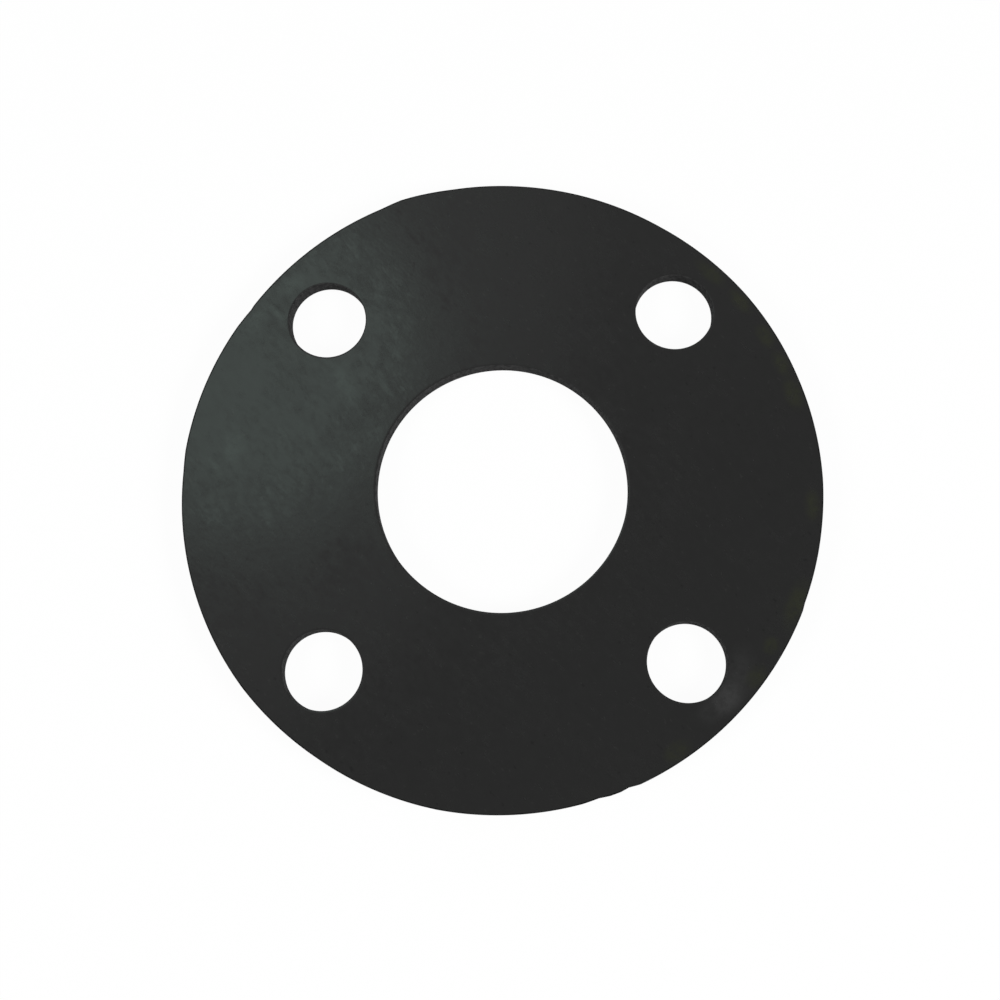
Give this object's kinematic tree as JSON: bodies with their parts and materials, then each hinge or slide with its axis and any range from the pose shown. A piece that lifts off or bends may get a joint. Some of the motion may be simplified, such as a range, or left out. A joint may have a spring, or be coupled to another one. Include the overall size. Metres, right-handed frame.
{
  "type": "rubber flange gasket",
  "caption": "Flat full-face gasket of solid black rubber for a round pipe flange: a ring with a centre bore and a circle of bolt holes.",
  "frame": {"origin": "centre of the bore on the lower face, on which the gasket lies", "axes": "+Z along the bore, up through the sheet; +Y and +X lie in the sheet, halfway between bolt holes, with the corner left by the closing knife cut near +Y"},
  "size_m": [0.1531, 0.1532, 0.0045],
  "materials": {
    "black_rubber": "satin"
  },
  "bodies": {
    "root": {"flange_gasket": "black_rubber"}
  },
  "joints": []
}
